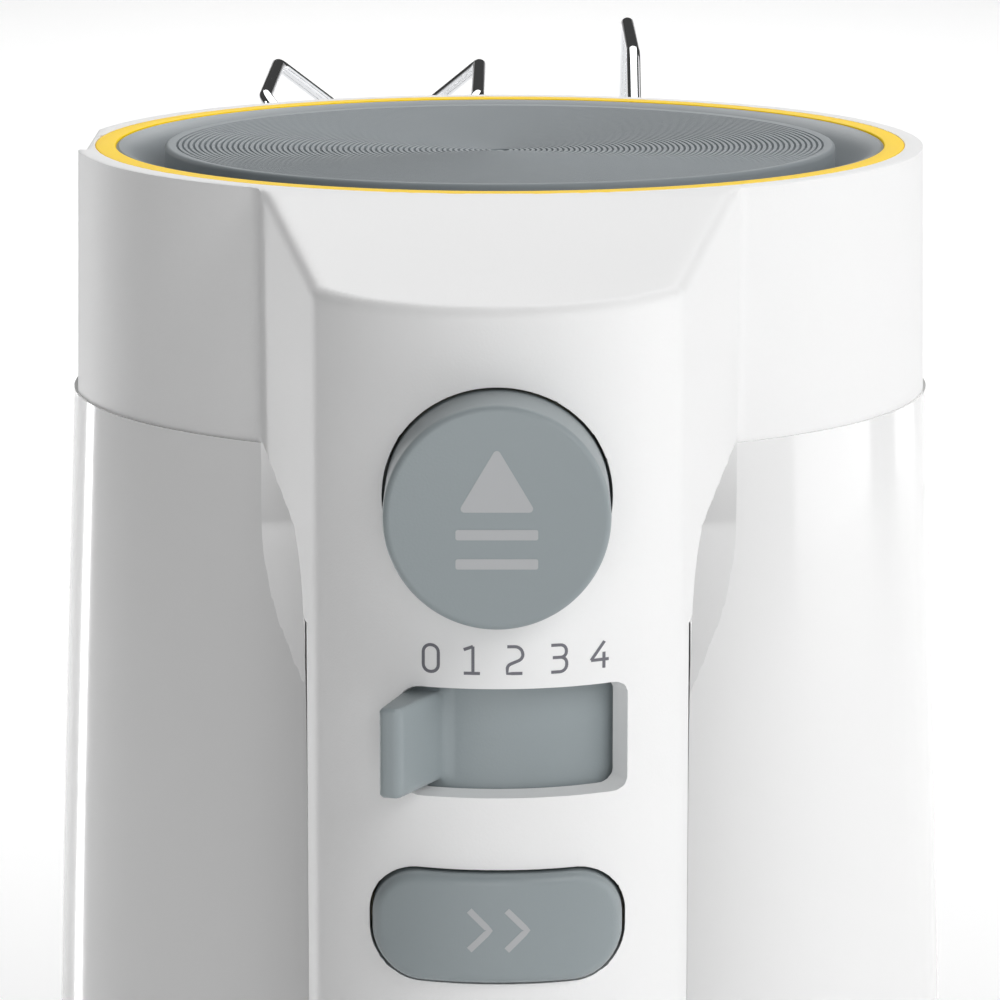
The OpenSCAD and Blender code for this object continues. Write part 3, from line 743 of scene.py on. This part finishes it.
def dense(path, gap=0.5):
    """A path with points added, so that none lies farther than the gap from the next."""
    path = [Vector(p) for p in path]
    filled = [path[0]]
    for a, b in zip(path, path[1:]):
        parts = max(1, math.ceil((b - a).length / gap))
        filled += [a.lerp(b, i / parts) for i in range(1, parts + 1)]
    return filled


def strokes(name, paths, width, thickness, surface):
    """Pen strokes of a given width with square ends, laid on surface(x, z). A path may be closed."""
    verts, faces = [], []
    for path in paths:
        path = dense(path)
        last = len(path) - 1
        closed = (path[0] - path[last]).length < 1e-6
        sections = []
        for i, point in enumerate(path):
            before = path[i - 1] if i else (path[last - 1] if closed else path[0])
            after = path[i + 1] if i < last else (path[1] if closed else path[last])
            ahead = (after - before).normalized()
            side = Vector((-ahead.y, ahead.x)) * width / 2
            sections.append((point + side, point - side))
        count = len(sections)
        base = len(verts)
        for lift in (0, thickness):
            for s in sections:
                for p in s:
                    verts.append((p.x, surface(p.x, p.y) + 0.02 - lift, p.y))
        top = base + 2 * count
        for i in range(count - 1):
            a, b = 2 * i, 2 * i + 2
            faces.append((top + a, top + b, top + b + 1, top + a + 1))
            faces.append((base + a, base + a + 1, base + b + 1, base + b))
            faces.append((base + a, base + b, top + b, top + a))
            faces.append((base + a + 1, top + a + 1, top + b + 1, base + b + 1))
        if not closed:
            end = 2 * count - 2
            faces.append((base, top, top + 1, base + 1))
            faces.append((base + end, base + end + 1, top + end + 1, top + end))
    mesh = bpy.data.meshes.new(name)
    mesh.from_pydata(verts, [], faces)
    mesh.transform(Matrix.Scale(MM, 4))
    mesh.shade_smooth()
    mesh.set_sharp_from_angle(angle=math.radians(40))
    return add(name, mesh)


def on_crown(proud):
    """The handle's crown, raised by a height, as a surface(x, z)."""
    return lambda x, z: CROWN_Y - math.sqrt((CROWN_R + proud) ** 2 - x**2)


def digit_paths():
    """Numbers 0 to 4 in a box 1.5 wide and 2.5 high, around their middle."""
    w, h = 0.7, 1.27
    zero = fillet([(0, h, 0), (w, h, w * 0.97), (w, -h, w * 0.97), (-w, -h, w * 0.97),
                   (-w, h, w * 0.97), (0, h, 0)])
    one = [[(-0.75, 0.95), (0.1, h)], [(0.1, h), (0.1, -h)], [(-0.75, -h), (0.75, -h)]]
    two = fillet([(-w, h, 0), (w * 1.05, h, 0.75), (w * 1.05, 0.1, 0.6), (-w, -0.5, 0.5),
                  (-w, -h, 0), (w, -h, 0)])
    three = [
        fillet([(-w, h, 0), (w, h, 0.55), (w, 0.1, 0.5), (-w * 0.8, 0.1, 0)]),
        fillet([(0, 0.1, 0), (w * 1.05, 0.1, 0.55), (w * 1.05, -h, 0.65), (-w, -h, 0)])]
    four = [[(0.45, h), (-0.8, -0.45)], [(-0.8, -0.45), (0.85, -0.45)], [(0.4, 0.25), (0.4, -h)]]
    return [[zero], one, [two], three, four]


def make_digits():
    """The speed numbers, printed above the slot."""
    places = (-6.15, -2.34, 1.64, 5.71, 9.52)
    height = SLIDER_Z + 7.75
    for value, (x, paths) in enumerate(zip(places, digit_paths())):
        moved = [[(p[0] + x, p[1] + height) for p in path] for path in paths]
        number = strokes(f"speed_number_{value}", moved, 0.29, PRINT, on_crown(0))
        settle(number, "ink", "housing", "grey_plastic")


def make_eject():
    """A round push button that stands well proud, with an open-arrow icon on its face."""
    edge = 0.7
    back = span("eject_button")[1][1]
    profile = [(0, back), (11.2, back), (11.2, back - 1.4), (EJECT_R, back - 1.4)]
    profile += [(p[0], p[1]) for p in arc(EJECT_R - edge, EJECT_FACE + edge, edge, 0, -90, 6)]
    profile += [(0, EJECT_FACE)]
    button = lathe("eject_cap", profile, 160, along_y(0, EJECT_Z), sharp=50)
    settle(button, "grey_plastic", "eject_button", "grey_plastic", "eject_button")
    centre = EJECT_Z + 1.25
    triangle = fillet([(0, centre + 5.3, 0.35), (3.55, centre - 0.7, 0.35), (-3.55, centre - 0.7, 0.35)])
    shapes = [[(p[0], p[1]) for p in triangle][::-1]]
    for low in (-3.25, -5.95):
        bar = fillet([(-3.75, centre + low, 0.2), (3.75, centre + low, 0.2),
                      (3.75, centre + low + 0.95, 0.2), (-3.75, centre + low + 0.95, 0.2)])
        shapes.append([(p[0], p[1]) for p in bar])
    icon = extrude("eject_icon", shapes, PRINT, lambda x, z: EJECT_FACE)
    settle(icon, "icon", "eject_button", "grey_plastic")


def make_slider():
    low, high = span("speed_slider")
    slider = contour("speed_thumb", slider_shape, low - 0.5, high + 0.5, 0.35)
    settle(slider, "grey_plastic", "speed_slider", "grey_plastic", "speed_slider")


def make_turbo():
    low, high = span("turbo_button")
    button = contour("turbo_cap", turbo_shape, low - 0.5, high + 0.5, 0.35)
    settle(button, "grey_plastic", "turbo_button", "grey_plastic", "turbo_button")
    paths = []
    for x in (-2.6, 0.9):
        paths.append([(x, TURBO_Z + 1.9), (x + 1.9, TURBO_Z), (x, TURBO_Z - 1.9)])
    icon = strokes("boost_icon", paths, 0.6, PRINT, on_crown(TURBO_PROUD))
    settle(icon, "icon", "turbo_button", "grey_plastic")


# ---- Beaters
def loop_path(side, angle, end_y):
    """One whole wire loop of a cage, in the plane at this angle around the beater's axis."""
    cage_r, near, far = 19.5, 116, 156
    half = fillet([(3.4, 88, 0), (3.6, 95, 2), (cage_r, near, 6), (cage_r, far, 4), (3.2, end_y, 3),
                   (0, end_y, 0)], 8)
    whole = [(p[0], p[1]) for p in half] + [(-p[0], p[1]) for p in reversed(half[:-1])]
    return [(side * SPINDLE_X + r * math.cos(angle), y, SPINDLE_Z + r * math.sin(angle))
            for r, y in whole]


def make_beaters():
    for side, name, first in ((-1, "left", 45), (1, "right", 0)):
        body = f"{name}_beater"
        paths = [loop_path(side, math.radians(first + 90 * k), 178 - 1.9 * k) for k in (0, 1)]
        cage = wire(f"{name}_cage", paths, 0.88)
        settle(cage, "chrome", body, "chrome", f"{name}_beater_wires")
        axis = along_y(side * SPINDLE_X, SPINDLE_Z)
        low, high = span(f"{name}_beater_hub")
        hub = lathe(f"{name}_crimp", [
            (0, low[1]), (4.2, low[1]), (5, low[1] + 0.8), (5, low[1] + 2.6), (4.6, low[1] + 3.1),
            (4.6, low[1] + 3.9), (5, low[1] + 4.4), (5, high[1] - 1.2), (4.3, high[1] - 0.3),
            (3.4, high[1]), (0, high[1] - 0.2)], 64, axis, sharp=50)
        settle(hub, "chrome", body, "chrome", f"{name}_beater_hub")
        low, high = span(f"{name}_beater_shaft")
        shaft = lathe(f"{name}_stem", [
            (0, low[1]), (2.6, low[1]), (3.5, low[1] + 1.2), (3.5, low[1] + 9), (3.1, low[1] + 9.6),
            (3.1, low[1] + 11.4), (3.5, low[1] + 12), (3.5, 60), (3.9, 60.5), (3.9, 62), (3.5, 62.5),
            (3.5, high[1]), (0, high[1])], 64, axis, sharp=50)
        settle(shaft, "chrome", body, "chrome", f"{name}_beater_shaft")


# ---- Springs behind the two buttons
def coil_spring(node, body, turns):
    """A coil in the space of a CAD spring."""
    low, high = span(node)
    centre = (low + high) / 2
    thick = 0.35
    coil_r = (high[0] - low[0]) / 2 - thick
    length = high[1] - low[1]
    steps = int(turns * 24)
    path = []
    for i in range(steps + 1):
        a = 2 * math.pi * turns * i / steps
        y = low[1] + thick + (length - 2 * thick) * i / steps
        path.append((centre[0] + coil_r * math.cos(a), y, centre[2] + coil_r * math.sin(a)))
    spring = wire(f"{node}_coil", [path], thick, 10)
    settle(spring, "steel", body, "steel", node)
    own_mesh(spring)


def make_springs():
    coil_spring("eject_spring", "eject_button", 7)
    coil_spring("turbo_spring", "turbo_button", 4)


# ---- Back, heel and cord inlet
def make_sockets():
    low, high = span("socket_rings")
    for side, name in ((-1, "left"), (1, "right")):
        ring = lathe(f"{name}_socket_ring", [
            (5.9, low[1]), (10, low[1]), (10, low[1] + 1.2), (8.5, low[1] + 1.3),
            (8.5, high[1] - 0.6), (7.9, high[1]), (7.0, high[1]), (6.2, high[1] - 1.2),
            (5.9, high[1] - 2.5)], 96, along_y(side * SPINDLE_X, SPINDLE_Z), sharp=30)
        nodes = ["socket_rings"] if side > 0 else []
        settle(ring, "inner_dark", "housing", "dark_plastic", *nodes)


def make_gland():
    low, high = span("cord_gland")
    face = low[1]
    bore = 3.6
    profile = [(bore, high[1]), (6, high[1]), (6, -96), (8, -96), (8, face + 0.8), (7.2, face),
               (bore + 1.2, face), (bore, face + 1)]
    gland = lathe("cord_inlet", profile[::-1], 96, along_y(0, GLAND_Z), sharp=30)
    settle(gland, "rubber", "housing", "rubber", "cord_gland")


def pad_shape(x, y, z):
    """A round foot with a tongue under the handle, grooved across its sole."""
    high = span("heel_pad")[1][2]
    foot = np.minimum(np.hypot(x, y) - 38, np.maximum(box2(x, y + 43.5, 13, 43.5, 6), y))
    foot = np.maximum(round_both(foot, -z, 0.5), z - high)
    tread = np.abs((y + 500) % 6 - 3) - 0.6
    tread = np.maximum(np.maximum(tread, foot + 3), z - 0.45)
    return np.maximum(foot, -tread)


def make_heel():
    low, high = span("heel_pad")
    pad = contour("foot_pad", pad_shape, low, high, 0.4)
    settle(pad, "rubber", "housing", "rubber", "heel_pad")


# ---- Scene
def area_light(name, at, target, width, height, power):
    data = bpy.data.lights.new(name, "AREA")
    data.shape = "RECTANGLE"
    data.size, data.size_y, data.energy = width, height, power
    lamp = bpy.data.objects.new(name, data)
    lamp.location = at
    lamp.rotation_euler = (Vector(target) - Vector(at)).to_track_quat("-Z", "Y").to_euler()
    lamp.visible_camera = False
    bpy.context.scene.collection.objects.link(lamp)


def floor_finish():
    """Pale paper floor that glows faintly away from the object. Far off the glow keeps the backdrop
    white; its lack near the object leaves a painted pool of shade round the base and keeps bounce light
    off the object.
    """
    made = material("floor", (0.93, 0.93, 0.93), 0.8, vary=0.004)
    nodes, links = made.node_tree.nodes, made.node_tree.links
    shader = nodes["Principled BSDF"]
    shader.inputs["Emission Color"].default_value = (1, 1, 1, 1)
    place = nodes.new("ShaderNodeTexCoord")
    reach = nodes.new("ShaderNodeVectorMath")
    reach.operation = "LENGTH"
    links.new(place.outputs["Object"], reach.inputs[0])
    # No glow within 0.2 m of the middle, rising by 0.6 m: a painted pool of shade round the object,
    # fading into the white backdrop.
    glow = nodes.new("ShaderNodeMapRange")
    glow.interpolation_type = "SMOOTHSTEP"
    glow.inputs["From Min"].default_value = 0.2
    glow.inputs["From Max"].default_value = 0.6
    glow.inputs["To Min"].default_value = 0.0
    glow.inputs["To Max"].default_value = 0.16
    links.new(reach.outputs["Value"], glow.inputs["Value"])
    links.new(glow.outputs["Result"], shader.inputs["Emission Strength"])
    return made


def make_stage():
    mesh = bpy.data.meshes.new("floor")
    half = 12
    mesh.from_pydata([(-half, -half, 0), (half, -half, 0), (half, half, 0), (-half, half, 0)],
                     [], [(0, 1, 2, 3)])
    floor = add("floor", mesh)
    floor.data.materials.append(floor_finish())
    world = bpy.data.worlds.new("studio")
    world.use_nodes = True
    world.node_tree.nodes["Background"].inputs["Color"].default_value = (1, 1, 1, 1)
    world.node_tree.nodes["Background"].inputs["Strength"].default_value = 0.05
    bpy.context.scene.world = world
    aim = (0, 0, 0.14)
    area_light("key", (0.90, -0.35, 0.45), aim, 0.6, 0.6, 1.65)
    area_light("side", (1.0, 0.15, 0.30), aim, 0.6, 0.6, 1.9)
    area_light("high_front", (0.55, -0.75, 0.75), aim, 0.5, 0.5, 3.45)
    area_light("low_front", (-0.1, -1.3, 0.35), aim, 0.6, 0.6, 3.65)
    area_light("back", (0.7, 0.75, 0.25), aim, 0.3, 0.8, 0.7)
    area_light("strip", (-0.19, 0.18, 0.13), (-0.04, -0.02, 0.13), 0.022, 0.26, 0.15)
    area_light("floor_lamp", (0, 1.4, 1.0), (0, 1.4, 0), 1.2, 2.6, 21.3)
    bpy.context.scene.view_settings.view_transform = "Standard"


def make_camera():
    """A long lens that looks down a little. The focal length is in widths of the picture."""
    distance, above, focal = 0.600, 0.07234, 5.5317
    azimuth, pitch = math.radians(0.152), math.radians(10.583)
    data = bpy.data.cameras.new("camera")
    data.sensor_width = 36
    data.lens = data.sensor_width * focal
    data.clip_start = 0.01
    camera = bpy.data.objects.new("camera", data)
    camera.location = (distance * math.sin(azimuth), -distance * math.cos(azimuth), TOP * MM + above)
    camera.rotation_euler = (math.pi / 2 - pitch, 0, azimuth)
    bpy.context.scene.collection.objects.link(camera)
    bpy.context.scene.camera = camera


make_camera()
make_shells()
make_ring()
make_bowl()
make_disc()
make_digits()
make_eject()
make_slider()
make_turbo()
make_springs()
make_beaters()
make_sockets()
make_gland()
make_heel()
make_stage()
